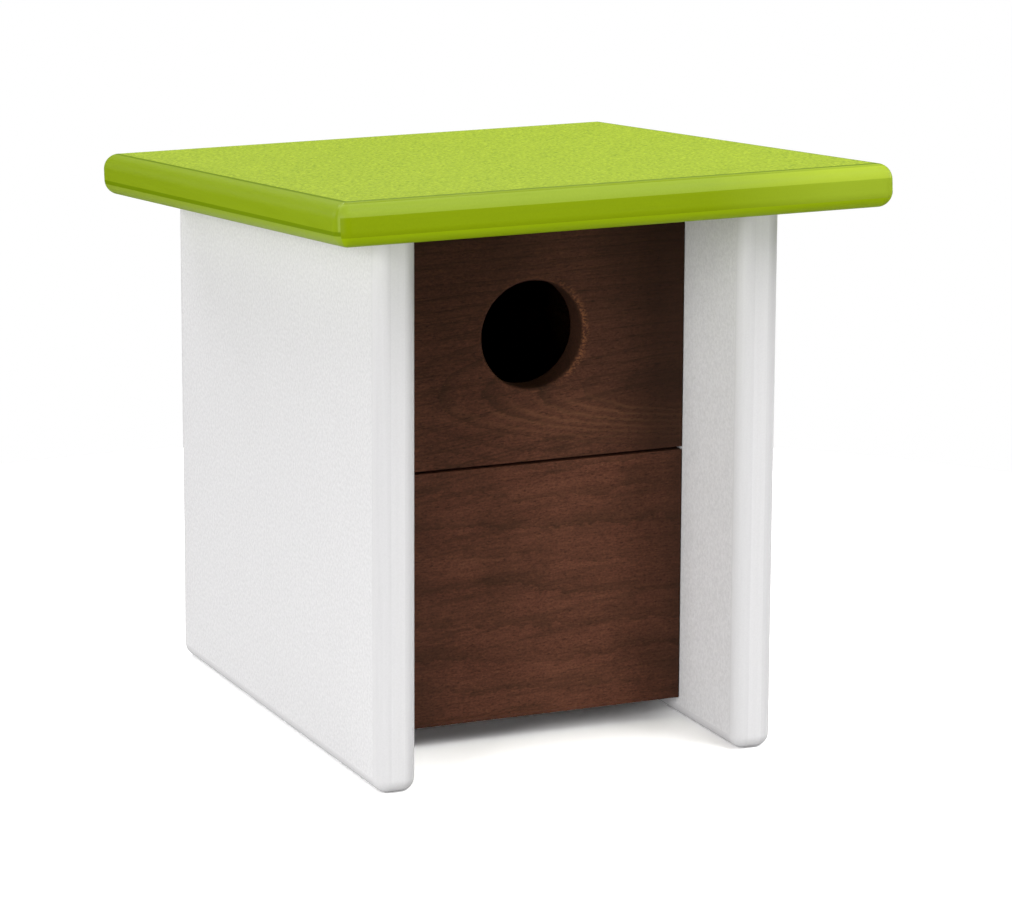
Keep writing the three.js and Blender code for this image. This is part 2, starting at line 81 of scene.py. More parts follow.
CORNER_STEPS = 8
TURNED_STEPS = 48

ROOF_UP = Vector((0, math.sin(ROOF_SLOPE), math.cos(ROOF_SLOPE)))
DOWN_SLOPE = Vector((0, math.cos(ROOF_SLOPE), -math.sin(ROOF_SLOPE)))

# ---------------------------------------------------- camera, floor and lights

CAMERA_PLACE = Vector((-0.82355, -1.90017, 0.6098))
CAMERA_YAW = math.radians(23.734)
CAMERA_PITCH = math.radians(13.248)
CAMERA_ROLL = math.radians(0.238)
CAMERA_LENS = 166.13
CAMERA_SENSOR = 36
CAMERA_NEAR = 0.05
AIM = (0, 0, 0.15)
SURROUND_LIGHT = 0.0
SURROUND_SEEN = 1.0
FLOOR_RADIUS = 0.55
FLOOR_THICKNESS = 0.02
FLOOR_SEEN = 1.7
FLOOR_BOUNCE = 0.5


def make_camera():
    """The camera at the place and turn given above, with no shift and no depth of field."""
    camera = bpy.data.objects.new("camera", bpy.data.cameras.new("camera"))
    bpy.context.scene.collection.objects.link(camera)
    camera.data.sensor_width = CAMERA_SENSOR
    camera.data.lens = CAMERA_LENS
    camera.data.clip_start = CAMERA_NEAR
    turn = Matrix.Rotation(-CAMERA_YAW, 4, "Z")
    turn = turn @ Matrix.Rotation(math.pi / 2 - CAMERA_PITCH, 4, "X")
    turn = turn @ Matrix.Rotation(CAMERA_ROLL, 4, "Z")
    camera.matrix_world = Matrix.Translation(CAMERA_PLACE) @ turn
    bpy.context.scene.camera = camera


def make_area_light(name, place, size, power):
    """A white rectangular light at the place, turned to the middle of the object."""
    light = bpy.data.objects.new(name, bpy.data.lights.new(name, "AREA"))
    bpy.context.scene.collection.objects.link(light)
    light.data.shape = "RECTANGLE"
    light.data.size, light.data.size_y = size
    light.data.energy = power
    light.location = place
    light.rotation_euler = (Vector(AIM) - Vector(place)).to_track_quat("-Z", "Y").to_euler()


def around(azimuth, elevation, distance):
    """A place round the object: azimuth in degrees to the left of the front, elevation in degrees."""
    turn, rise = math.radians(azimuth), math.radians(elevation)
    flat = distance * math.cos(rise)
    return (-flat * math.sin(turn), -flat * math.cos(turn), AIM[2] + distance * math.sin(rise))


def make_lights():
    """Soft studio lights: one large one above and behind, the others low and high round the front."""
    make_area_light("top_back", (0, 1.4, 1.8), (2.4, 1.2), 40.5)
    make_area_light("right_front", around(-50, 47, 1.7), (1.5, 1.5), 29.5)
    make_area_light("right_card", around(-33, 4, 2.3), (1.0, 0.7), 13)
    make_area_light("left_back", around(130, 15, 2.2), (1.0, 0.8), 12.5)
    make_area_light("left_front", around(60, 12, 2.2), (1.0, 0.8), 34)
    make_area_light("left_card", around(50, 3, 2.2), (1.2, 0.5), 7.5)
    make_area_light("right_rim", around(-100, 12, 2.2), (1.0, 0.8), 9)


def make_world():
    """A white surround that the camera sees where nothing else is, and that gives the object no light."""
    world = bpy.data.worlds.new("studio")
    bpy.context.scene.world = world
    world.use_nodes = True
    tree = world.node_tree
    surround = tree.nodes["Background"]
    surround.inputs["Color"].default_value = (1, 1, 1, 1)
    surround.inputs["Strength"].default_value = SURROUND_LIGHT
    backdrop = tree.nodes.new("ShaderNodeBackground")
    backdrop.inputs["Color"].default_value = (1, 1, 1, 1)
    backdrop.inputs["Strength"].default_value = SURROUND_SEEN
    path = tree.nodes.new("ShaderNodeLightPath")
    choose = tree.nodes.new("ShaderNodeMixShader")
    tree.links.new(path.outputs["Is Camera Ray"], choose.inputs["Fac"])
    tree.links.new(surround.outputs["Background"], choose.inputs[1])
    tree.links.new(backdrop.outputs["Background"], choose.inputs[2])
    tree.links.new(choose.outputs["Shader"], tree.nodes["World Output"].inputs["Surface"])


# ---------------------------------------------------- mesh helpers


def add_object(name, mesh, materials):
    """A new object in the scene with the mesh and its materials."""
    thing = bpy.data.objects.new(name, mesh)
    bpy.context.scene.collection.objects.link(thing)
    for material in materials:
        mesh.materials.append(material)
    return thing


def rounded_rectangle(half_x, half_y, radius, steps):
    """Points round a rectangle with round corners, anticlockwise from the +X side."""
    points = []
    corners = [(1, 1, 0), (-1, 1, 90), (-1, -1, 180), (1, -1, 270)]
    for sign_x, sign_y, start in corners:
        for i in range(steps + 1):
            angle = math.radians(start + 90 * i / steps)
            x = sign_x * (half_x - radius) + radius * math.cos(angle)
            y = sign_y * (half_y - radius) + radius * math.sin(angle)
            points.append((x, y))
    return points


def skin(rings, closed=False, capped=True):
    """A mesh through rings that have the same number of points, with a face over each end."""
    mesh = bmesh.new()
    rows = [[mesh.verts.new(point) for point in ring] for ring in rings]
    count = len(rows[0])
    pairs = list(zip(rows, rows[1:]))
    if closed:
        pairs.append((rows[-1], rows[0]))
    for low, high in pairs:
        for i in range(count):
            j = (i + 1) % count
            mesh.faces.new((low[i], low[j], high[j], high[i]))
    if capped and not closed:
        mesh.faces.new(list(reversed(rows[0])))
        mesh.faces.new(rows[-1])
    bmesh.ops.remove_doubles(mesh, verts=mesh.verts, dist=1e-7)
    bmesh.ops.recalc_face_normals(mesh, faces=mesh.faces)
    return mesh


def finish_mesh(mesh, name):
    """A bmesh turned into mesh data, and freed."""
    data = bpy.data.meshes.new(name)
    mesh.to_mesh(data)
    mesh.free()
    return data


def shade(thing, angle=35):
    """Smooth shading that keeps edges sharper than the angle, with flat faces kept flat."""
    thing.data.polygons.foreach_set("use_smooth", [True] * len(thing.data.polygons))
    thing.data.set_sharp_from_angle(angle=math.radians(angle))
    weighted = thing.modifiers.new("flat faces stay flat", "WEIGHTED_NORMAL")
    weighted.keep_sharp = True
    return thing


def apply_modifiers(thing):
    """The mesh as its modifiers leave it, and no modifiers."""
    bpy.context.view_layer.update()
    graph = bpy.context.evaluated_depsgraph_get()
    data = bpy.data.meshes.new_from_object(thing.evaluated_get(graph))
    thing.modifiers.clear()
    old = thing.data
    thing.data = data
    bpy.data.meshes.remove(old)
    return thing


def carve(thing, cutters):
    """Cuts the cutters' shapes out of a piece."""
    for cutter in cutters:
        boolean = thing.modifiers.new("carve", "BOOLEAN")
        boolean.operation = "DIFFERENCE"
        boolean.solver = "EXACT"
        boolean.object = cutter
    apply_modifiers(thing)
    for cutter in cutters:
        bpy.data.objects.remove(cutter)
    return thing


def ease(thing, width, steps=3):
    """Rounds every sharp edge by a small width."""
    bevel = thing.modifiers.new("ease", "BEVEL")
    bevel.width = width
    bevel.segments = steps
    bevel.limit_method = "ANGLE"
    bevel.angle_limit = math.radians(40)
    return apply_modifiers(thing)


def towards(direction, place):
    """A matrix that takes +Z to the direction and the origin to the place."""
    return Matrix.Translation(place) @ direction.to_track_quat("Z", "Y").to_matrix().to_4x4()


def turned(name, profile, matrix, materials, count=TURNED_STEPS, wave=None):
    """A solid of revolution round +Z through (radius, height) pairs; wave(ring, angle) changes the radius
    of one ring at one angle."""
    rings = []
    for row, (radius, height) in enumerate(profile):
        ring = []
        for i in range(count):
            angle = 2 * math.pi * i / count
            r = radius + (wave(row, angle) if wave else 0)
            ring.append(matrix @ Vector((r * math.cos(angle), r * math.sin(angle), height)))
        rings.append(ring)
    return add_object(name, finish_mesh(skin(rings), name), materials)


def middle(node):
    """The middle of a CAD node's box."""
    low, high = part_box(node)
    return (low + high) / 2


# ---------------------------------------------------- materials: node helpers


class Nodes:
    """A material's node tree with short calls for the nodes used here."""

    def __init__(self, name):
        self.material = bpy.data.materials.new(name)
        self.material.use_nodes = True
        self.tree = self.material.node_tree
        self.shader = self.tree.nodes["Principled BSDF"]

    def add(self, kind, settings=None, **inputs):
        node = self.tree.nodes.new(kind)
        for key, value in (settings or {}).items():
            setattr(node, key, value)
        for key, value in inputs.items():
            self.feed(node.inputs[key.replace("_", " ")], value)
        return node

    def feed(self, socket, value):
        if isinstance(value, bpy.types.NodeSocket):
            self.tree.links.new(value, socket)
        else:
            socket.default_value = value

    def place(self, scale=(1, 1, 1)):
        """Object coordinates in millimetres, then scaled."""
        source = self.add("ShaderNodeTexCoord").outputs["Object"]
        node = self.add("ShaderNodeMapping", Vector=source)
        node.inputs["Scale"].default_value = [s / MM for s in scale]
        return node.outputs["Vector"]

    def noise(self, vector, scale=1.0, detail=3.0, roughness=0.5):
        node = self.add("ShaderNodeTexNoise", Vector=vector, Scale=scale, Detail=detail)
        node.inputs["Roughness"].default_value = roughness
        return node.outputs["Fac"]

    def math(self, operation, a, b=0.0, c=0.0):
        node = self.add("ShaderNodeMath", {"operation": operation})
        for socket, value in zip(node.inputs, (a, b, c)):
            self.feed(socket, value)
        return node.outputs[0]

    def ramp(self, value, stops):
        """Maps a value through (place, colour or grey) stops."""
        node = self.add("ShaderNodeValToRGB", Fac=value)
        node.color_ramp.interpolation = "LINEAR"
        elements = node.color_ramp.elements
        while len(elements) < len(stops):
            elements.new(0.5)
        for element, (place, color) in zip(elements, stops):
            element.position = place
            element.color = (color,) * 3 + (1,) if isinstance(color, float) else (*color, 1)
        return node.outputs["Color"]

    def mix(self, factor, a, b):
        """Colour a, and colour b as far as the factor says."""
        node = self.add("ShaderNodeMix", {"data_type": "RGBA", "blend_type": "MIX"})
        self.feed(node.inputs["Factor"], factor)
        self.feed(node.inputs["A"], a if isinstance(a, bpy.types.NodeSocket) else (*a, 1))
        self.feed(node.inputs["B"], b if isinstance(b, bpy.types.NodeSocket) else (*b, 1))
        return node.outputs["Result"]

    def bump(self, height, distance):
        return self.add("ShaderNodeBump", Height=height, Distance=distance, Strength=1.0).outputs["Normal"]

    def split(self, vector):
        return self.add("ShaderNodeSeparateXYZ", Vector=vector).outputs

    def join(self, x, y, z):
        node = self.add("ShaderNodeCombineXYZ")
        for socket, value in zip(node.inputs, (x, y, z)):
            self.feed(socket, value)
        return node.outputs[0]


def rgb(red, green, blue):
    """A colour given as on a screen, 0 to 255, as linear light."""

    def linear(value):
        share = value / 255
        return share / 12.92 if share <= 0.04045 else ((share + 0.055) / 1.055) ** 2.4

    return (linear(red), linear(green), linear(blue))


# ---------------------------------------------------- colours

LIME_FACE = (rgb(180, 200, 43), rgb(122, 149, 4))
LIME_EDGE = (rgb(135, 158, 6), rgb(130, 153, 5))
# Painted shade: the front and back edges are a little darker green than the side edges.
LIME_FRONT_SHADED = (rgb(130, 151, 3), rgb(126, 147, 2))
# Painted sheen: a paler green towards the +X end of the roof's front edge, for soft light from the right.
LIME_PAINTED_SHEEN = rgb(160, 182, 52)
# Painted light: a lighter green on the lower front and back rounds, which face down into shade.
LIME_LOW_LIT = (rgb(150, 175, 5), rgb(145, 170, 4))
# Painted highlight: a paler green for the bands of light along the roof's rounds and the glint at its
# front left corner.
LIME_HIGHLIGHT = (rgb(146, 168, 46), rgb(141, 163, 42))
# Painted shade: a darker green for the line under the roof's top face and the line over the sides' lower
# round.
LIME_SHADE_LINE = (rgb(112, 137, 2), rgb(108, 132, 1))

WHITE_FACE = (rgb(224, 223, 224), rgb(210, 209, 210))
WHITE_EDGE = (rgb(219, 218, 219), rgb(214, 213, 214))
# Painted shade: a greyer white on the side panels' rounds, which the lamps light brighter.
WHITE_ROUND_SHADED = (rgb(214, 213, 214), rgb(209, 208, 209))

WOOD_OLIVE = rgb(50, 35, 23)
WOOD_DARK = rgb(72, 42, 30)
WOOD_RED = rgb(99, 61, 46)
WOOD_PALE = rgb(122, 78, 57)
WOOD_GLOW = rgb(147, 100, 71)
WOOD_TORN = rgb(168, 108, 70)
WOOD_PORE = rgb(36, 22, 16)
WOOD_FLECK = rgb(146, 112, 82)
# Painted shade at the boards' ends and under the roof; also the darker line round the entrance hole.
WOOD_SHADE_AND_RIM_LINE = rgb(44, 29, 21)

DOWEL_PALE = rgb(196, 160, 112)
DOWEL_DEEP = rgb(150, 112, 72)
STEEL_PALE = rgb(200, 200, 202)
STEEL_DEEP = rgb(178, 179, 181)
RUBBER_PALE = rgb(52, 52, 53)
RUBBER_DEEP = rgb(24, 24, 25)

# ---------------------------------------------------- materials

# Stipple dimples per millimetre.
STIPPLE_SCALE = 0.7

# Where the paler colour of the painted sheen comes in along an edge, as a distance in millimetres to +X
# that counts as one.
SHEEN_REACH = 100.0

# How often each mark in the wood comes along and across the grain, per millimetre.
SWAY = (0.014, 0.022)
SCALLOPS = (0.11, 0.17)
PATCHES = (0.012, 0.05)
HAIRS = (0.014, 0.5)
DULL_PATCHES = (0.03, 0.045)
SPECKLES = (0.8, 1.1)
STREAKS = (0.34, 1.4)
THREADS = (0.02, 0.9)
BLOTCHES = (0.025, 0.06)
PORES = (0.4, 2.2)
FLECKS = (1.0, 1.7)

# Moves each board's noise to a place of its own, in millimetres per seed.
SEED_STEP = 61.0
# How far the rings lean for each millimetre into the board, as a share of the ovals' stretch.
RING_LEAN = 0.3
# Distances in millimetres that count as one: from the middle of the ovals, and from a hole's edge.
ARC_REACH = 50.0
RIM_REACH = 10.0


def stippled_sheet(name, shades, grit, shine):
    """The pressed face of plastic sheet: a fine random stipple, each dimple with its own small glint."""
    n = Nodes(name)
    pale, deep = shades
    place = n.place()
    grain = n.noise(place, STIPPLE_SCALE, 2.0, 0.55)
    fine = n.noise(place, 3 * STIPPLE_SCALE, 2.0, 0.55)
    cloud = n.noise(place, 0.03, 3.0, 0.5)
    tone = n.math("MULTIPLY_ADD", fine, 0.1, n.math("MULTIPLY", cloud, 0.05))
    tone = n.math("MULTIPLY_ADD", grain, 0.85, tone)
    n.feed(n.shader.inputs["Base Color"], n.ramp(tone, [(0.34, deep), (0.66, pale)]))
    n.feed(n.shader.inputs["Roughness"], n.ramp(fine, [(0.3, 0.55), (0.7, 0.75)]))
    height = n.math("MULTIPLY_ADD", fine, 0.35, grain)
    n.feed(n.shader.inputs["Normal"], n.bump(height, 0.3 * MM * grit))
    n.shader.inputs["Specular IOR Level"].default_value = shine
    return n.material


def machined_edge(name, shades, run, shine, painted_sheen=None):
    """A routed plastic edge: smooth, with very faint cutter lines along the run direction.

    A painted sheen, a paler colour that stands in for soft light from the right, comes in towards the +X
    end, and reaches half strength there.
    """
    n = Nodes(name)
    pale, deep = shades
    along = [0.03 if axis == run else 1.0 for axis in "XYZ"]
    lines = n.noise(n.place(along), 0.7, 2.0, 0.5)
    fine = n.noise(n.place(), 1.3, 2.0, 0.6)
    tone = n.math("MULTIPLY_ADD", lines, 0.4, n.math("MULTIPLY", fine, 0.6))
    color = n.ramp(tone, [(0.35, deep), (0.65, pale)])
    # Painted sheen towards the +X end.
    if painted_sheen:
        share = n.math("MULTIPLY", n.split(n.place())[0], 1 / SHEEN_REACH)
        color = n.mix(n.ramp(share, [(0.4, 0.0), (1.0, 0.5)]), color, painted_sheen)
    n.feed(n.shader.inputs["Base Color"], color)
    n.feed(n.shader.inputs["Roughness"], n.ramp(lines, [(0.3, 0.42), (0.7, 0.54)]))
    height = n.math("MULTIPLY_ADD", fine, 0.5, lines)
    n.feed(n.shader.inputs["Normal"], n.bump(height, 0.03 * MM))
    n.shader.inputs["Specular IOR Level"].default_value = shine
    return n.material


class Figure:
    """How the growth rings show on one board: long ovals round a middle point, in millimetres."""

    def __init__(self, seed, middle, stretch=4.0, period=12.0, sway=2.0, scallop=0.5, tilt=0.03):
        self.seed = seed
        self.middle = middle
        self.stretch = stretch
        self.period = period
        self.sway = sway
        self.scallop = scallop
        self.tilt = tilt
        self.thin = 0.0
        self.glow = 0.0
        self.ends = None
        self.roof_shade = None
        self.hole = None

    def with_lines(self, thin, glow):
        """Thin dark ring lines instead of broad bands, and paler arcs under the middle of the ovals."""
        self.thin = thin
        self.glow = glow
        return self

    def with_shaded_ends(self, half_length, shift):
        """Painted shade on the board's two ends, near the side panels, the lightest place a little off the
        middle.
        """
        self.ends = (half_length, shift)
        return self

    def with_roof_shade(self, start, end, most):
        """Painted shade along one long edge, under the roof: darker from one height across the board to
        another.
        """
        self.roof_shade = (start, end, most)
        return self

    def with_hole(self, centre, radius):
        """Torn fibres round a drilled hole."""
        self.hole = (centre, radius)
        return self


class Grain:
    """Places in one board, in millimetres: along the grain, across it, and deep into the board."""

    def __init__(self, n, grain_axis, across_axis, seed):
        axes = dict(zip("XYZ", n.split(n.place())))
        self.n = n
        self.along = axes[grain_axis]
        self.across = axes[across_axis]
        self.deep = axes[({"X", "Y", "Z"} - {grain_axis, across_axis}).pop()]
        self.seeded = n.math("ADD", self.deep, SEED_STEP * seed)

    def noise(self, scales, detail=2.0, roughness=0.5, across=None):
        """Noise drawn out along the grain."""
        n = self.n
        run, fine = scales
        across = self.across if across is None else across
        place = n.join(
            n.math("MULTIPLY", self.along, run),
            n.math("MULTIPLY", across, fine),
            n.math("MULTIPLY", self.seeded, fine),
        )
        return n.noise(place, 1.0, detail, roughness)


def length_of(n, a, b):
    """The length of a flat vector."""
    return n.math("SQRT", n.math("ADD", n.math("MULTIPLY", a, a), n.math("MULTIPLY", b, b)))


def ring_bands(n, grain, figure, radius, scallops):
    """Growth rings: each dulls slowly and ends sharply, more on some parts of the board than on others."""
    sway = grain.noise(SWAY)
    rings = n.math("MULTIPLY_ADD", radius, 1 / figure.period, n.math("MULTIPLY", sway, figure.sway))
    phase = n.math("FRACT", n.math("MULTIPLY_ADD", scallops, figure.scallop, rings))
    start = 0.3 + 0.3 * figure.thin
    bands = n.ramp(phase, [(0.0, 0.0), (start, 0.05), (0.82, 0.5), (0.95, 1.0), (0.99, 0.0)])
    return n.math("MULTIPLY", bands, n.ramp(grain.noise(PATCHES), [(0.36, 0.2), (0.62, 1.0)]))


def hair_lines(n, grain, radius):
    """Long thin lines that follow the rings."""
    bent = n.math("MULTIPLY_ADD", radius, 0.6, grain.across)
    return n.ramp(grain.noise(HAIRS, across=bent), [(0.55, 0.0), (0.6, 1.0), (0.63, 1.0), (0.68, 0.0)])


def fibre_tone(n, grain, speckles, streaks):
    """How light the bare fibres are."""
    threads = grain.noise(THREADS, 3.0, 0.6)
    blotches = grain.noise(BLOTCHES, 3.0, 0.55)
    tone = n.math("MULTIPLY_ADD", streaks, 0.3, n.math("MULTIPLY", speckles, 0.35))
    return n.math("MULTIPLY_ADD", blotches, 0.18, n.math("MULTIPLY_ADD", threads, 0.13, tone))


def add_arcs(n, figure, color, radius, rise, scallops):
    """Pale arcs under the middle of the ovals, and a dull heart in it."""
    narrow = n.math("FRACT", n.math("MULTIPLY_ADD", radius, 0.42, n.math("MULTIPLY", scallops, 0.8)))
    arcs = n.ramp(narrow, [(0.1, 0.15), (0.4, 1.0), (0.8, 0.15)])
    distance = n.math("DIVIDE", radius, ARC_REACH)
    belt = n.ramp(distance, [(0.2, 0.0), (0.3, 1.0), (0.48, 0.5), (0.62, 0.0)])
    below = n.ramp(n.math("MULTIPLY_ADD", rise, -1 / ARC_REACH, 0.5), [(0.5, 0.0), (0.75, 1.0)])
    arcs = n.math("MULTIPLY", n.math("MULTIPLY", arcs, belt), n.math("MULTIPLY", below, figure.glow))
    color = n.mix(arcs, color, WOOD_GLOW)
    heart = n.ramp(n.math("MULTIPLY_ADD", scallops, 0.12, distance), [(0.12, 0.75), (0.3, 0.0)])
    return n.mix(heart, color, WOOD_OLIVE)


def add_torn_rim(n, grain, figure, color, speckles):
    """A dark line round a drilled hole, and torn pale fibres, most of them on its +X side: the fibres are
    the wood's own, and their lighter +X side is painted light from the left.
    """
    centre, edge = figure.hole
    side = n.math("SUBTRACT", grain.along, centre[0])
    up = n.math("SUBTRACT", grain.across, centre[1])
    rim = n.math("MULTIPLY", n.math("SUBTRACT", length_of(n, side, up), edge), 1 / RIM_REACH)
    color = n.mix(n.ramp(rim, [(0.02, 0.5), (0.08, 0.0)]), color, WOOD_SHADE_AND_RIM_LINE)
    torn = n.ramp(rim, [(0.0, 0.0), (0.1, 1.0), (0.25, 0.5), (0.4, 0.0)])
    tufts = n.ramp(speckles, [(0.46, 0.0), (0.6, 0.7)])
    # Painted light: the fibres are paler on the +X side, which light from the left reaches.
    torn_and_lit_side = n.ramp(n.math("MULTIPLY_ADD", side, 0.5 / edge, 0.5), [(0.7, 0.12), (0.98, 1.0)])
    return n.mix(n.math("MULTIPLY", n.math("MULTIPLY", torn, tufts), torn_and_lit_side), color, WOOD_TORN)


def add_painted_end_shade(n, grain, figure, color):
    """Painted shade: the board's two ends, near the side panels, are darker than its middle."""
    half_length, shift = figure.ends
    share = n.math("DIVIDE", n.math("ABSOLUTE", n.math("SUBTRACT", grain.along, shift)), half_length)
    return n.mix(n.ramp(share, [(0.5, 0.0), (0.8, 0.36), (1.0, 0.72)]), color, WOOD_SHADE_AND_RIM_LINE)


def add_painted_roof_shade(n, grain, figure, color):
    """Painted shade: one long edge, under the roof, is darker."""
    start, end, most = figure.roof_shade
    share = n.math("DIVIDE", n.math("SUBTRACT", grain.across, start), end - start)
    return n.mix(n.math("MULTIPLY", n.ramp(share, [(0.0, 0.0), (1.0, 1.0)]), most), color, WOOD_SHADE_AND_RIM_LINE)


def dark_wood(name, grain_axis, across_axis, figure):
    """Heat-treated board: ring bands, hair lines, short fibres, pores and pale flecks, with painted shade
    at its ends and under the roof where the figure asks for it.
    """
    n = Nodes(name)
    grain = Grain(n, grain_axis, across_axis, figure.seed)
    scallops = grain.noise(SCALLOPS, 3.0, 0.6)
    speckles = grain.noise(SPECKLES, 2.0, 0.6)
    streaks = grain.noise(STREAKS, 2.0, 0.6)

    tilted = n.math("MULTIPLY_ADD", grain.along, figure.tilt, grain.across)
    rise = n.math("SUBTRACT", tilted, figure.middle[1])
    reach = n.math("DIVIDE", n.math("SUBTRACT", grain.along, figure.middle[0]), figure.stretch)
    radius = length_of(n, n.math("MULTIPLY_ADD", grain.deep, RING_LEAN, reach), rise)
    bands = ring_bands(n, grain, figure, radius, scallops)
    dull = n.ramp(grain.noise(DULL_PATCHES, 3.0), [(0.48, 0.0), (0.66, 1.0)])

    tone = fibre_tone(n, grain, speckles, streaks)
    color = n.ramp(tone, [(0.35, WOOD_DARK), (0.5, WOOD_RED), (0.65, WOOD_PALE)])
    color = n.mix(n.math("MULTIPLY", dull, 0.24), color, WOOD_OLIVE)
    color = n.mix(n.math("MULTIPLY", bands, 0.42 + 0.22 * figure.thin), color, WOOD_OLIVE)
    hairs = hair_lines(n, grain, radius)
    color = n.mix(n.math("MULTIPLY", hairs, 0.15 + 0.25 * figure.thin), color, WOOD_OLIVE)
    if figure.glow:
        color = add_arcs(n, figure, color, radius, rise, scallops)
    if figure.hole:
        color = add_torn_rim(n, grain, figure, color, speckles)

    pores = n.ramp(grain.noise(PORES, 1.0, 0.4), [(0.28, 1.0), (0.38, 0.0)])
    color = n.mix(n.math("MULTIPLY", pores, 0.6), color, WOOD_PORE)
    flecks = n.ramp(grain.noise(FLECKS, 3.0), [(0.68, 0.0), (0.76, 0.5)])
    color = n.mix(flecks, color, WOOD_FLECK)
    # Painted shade at the board's ends.
    if figure.ends:
        color = add_painted_end_shade(n, grain, figure, color)
    # Painted shade under the roof.
    if figure.roof_shade:
        color = add_painted_roof_shade(n, grain, figure, color)

    n.feed(n.shader.inputs["Base Color"], color)
    n.feed(n.shader.inputs["Roughness"], n.ramp(streaks, [(0.3, 0.7), (0.7, 0.85)]))
    relief = n.math("MULTIPLY_ADD", bands, 0.3, n.math("SUBTRACT", tone, n.math("MULTIPLY", pores, 0.5)))
    n.feed(n.shader.inputs["Normal"], n.bump(relief, 0.25 * MM))
    n.shader.inputs["Specular IOR Level"].default_value = 0.08
    return n.material


def pale_wood(name):
    """A plain turned dowel, its fibres along Y."""
    n = Nodes(name)
    fibres = n.noise(n.place((2.0, 0.05, 2.0)), 1.2, 3.0, 0.6)
    n.feed(n.shader.inputs["Base Color"], n.ramp(fibres, [(0.3, DOWEL_DEEP), (0.7, DOWEL_PALE)]))
    n.feed(n.shader.inputs["Normal"], n.bump(fibres, 0.1 * MM))
    n.shader.inputs["Roughness"].default_value = 0.7
    return n.material


def stainless(name, run):
    """Satin stainless steel with fine lines along the run direction."""
    n = Nodes(name)
    along = [0.04 if axis == run else 1.0 for axis in "XYZ"]
    lines = n.noise(n.place(along), 9.0, 3.0, 0.6)
    smudge = n.noise(n.place(), 0.25, 3.0, 0.5)
    n.feed(n.shader.inputs["Base Color"], n.ramp(smudge, [(0.3, STEEL_DEEP), (0.7, STEEL_PALE)]))
    n.feed(n.shader.inputs["Roughness"], n.ramp(lines, [(0.3, 0.24), (0.7, 0.42)]))
    n.feed(n.shader.inputs["Normal"], n.bump(lines, 0.02 * MM))
    n.shader.inputs["Metallic"].default_value = 1.0
    return n.material


def rubber(name):
    """Matte black rubber with a little dust."""
    n = Nodes(name)
    dust = n.noise(n.place(), 1.4, 3.0, 0.6)
    n.feed(n.shader.inputs["Base Color"], n.ramp(dust, [(0.35, RUBBER_DEEP), (0.75, RUBBER_PALE)]))
    n.feed(n.shader.inputs["Normal"], n.bump(dust, 0.05 * MM))
    n.shader.inputs["Roughness"].default_value = 0.75
    return n.material


def floor_white(name):
    """A plain pale table top: brighter than white to the camera, and half as bright to all other rays."""
    n = Nodes(name)
    cloud = n.noise(n.place(), 0.004, 2.0, 0.5)
    seen = n.add("ShaderNodeLightPath").outputs["Is Camera Ray"]
    gain = n.math("MULTIPLY_ADD", seen, FLOOR_SEEN - FLOOR_BOUNCE, FLOOR_BOUNCE)
    shade_of_white = n.ramp(cloud, [(0.3, 0.99), (0.7, 1.0)])
    level = n.add("ShaderNodeVectorMath", {"operation": "SCALE"})
    n.feed(level.inputs["Vector"], shade_of_white)
    n.feed(level.inputs["Scale"], gain)
    n.feed(n.shader.inputs["Base Color"], level.outputs["Vector"])
    n.shader.inputs["Roughness"].default_value = 0.9
    n.shader.inputs["Specular IOR Level"].default_value = 0.0
    return n.material


lime_face = stippled_sheet("lime_sheet_face", LIME_FACE, 1.8, 0.15)
# Front and back edges: painted shade, and a painted sheen towards +X.
lime_front_shade_and_sheen = machined_edge("lime_sheet_front_shade_and_sheen", LIME_FRONT_SHADED, "X", 0.05, LIME_PAINTED_SHEEN)
lime_edge_side = machined_edge("lime_sheet_edge_side", LIME_EDGE, "Y", 0.13)
# Painted highlight on the roof's rounds, with a painted sheen towards +X.
lime_highlight = machined_edge("lime_sheet_painted_highlight", LIME_HIGHLIGHT, "X", 0.12, LIME_FACE[0])
# Painted light on the lower front and back rounds.
lime_lit_low_round = machined_edge("lime_sheet_lit_low_round", LIME_LOW_LIT, "X", 0.05)
# Painted shade line.
lime_shade_line = machined_edge("lime_sheet_shade_line", LIME_SHADE_LINE, "Y", 0.05)
white_face = stippled_sheet("white_sheet_face", WHITE_FACE, 0.7, 0.5)
white_edge_upright = machined_edge("white_sheet_edge_upright", WHITE_EDGE, "Z", 0.25)
# Painted shade on the side panels' rounds.
white_round_shaded = machined_edge("white_sheet_round_shaded", WHITE_ROUND_SHADED, "Z", 0.15)
white_edge_low = machined_edge("white_sheet_edge_low", WHITE_EDGE, "Y", 0.25)
steel_turned = stainless("stainless_turned", "Z")
steel_plate = stainless("stainless_plate", "X")
black_rubber = rubber("rubber")
dowel_wood = pale_wood("dowel_wood")

upper_figure = Figure(0.0, (22.0, 160.0), stretch=5.5, period=4.6, sway=1.2, scallop=0.4, tilt=0.02)
# The upper board's ends and top, and the door's ends, get painted shade.
upper_figure.with_lines(1.0, 0.55).with_shaded_ends(76.0, -13.0).with_roof_shade(100.0, 225.0, 0.62)
upper_figure.with_hole((HOLE_CENTRE.x / MM, HOLE_CENTRE.z / MM), HOLE_RADIUS / MM)
door_figure = Figure(3.0, (20.0, 260.0), stretch=2.6, period=15.0, sway=1.3, scallop=0.8, tilt=0.02)
door_figure.with_lines(0.4, 0.0).with_shaded_ends(76.0, 5.0)

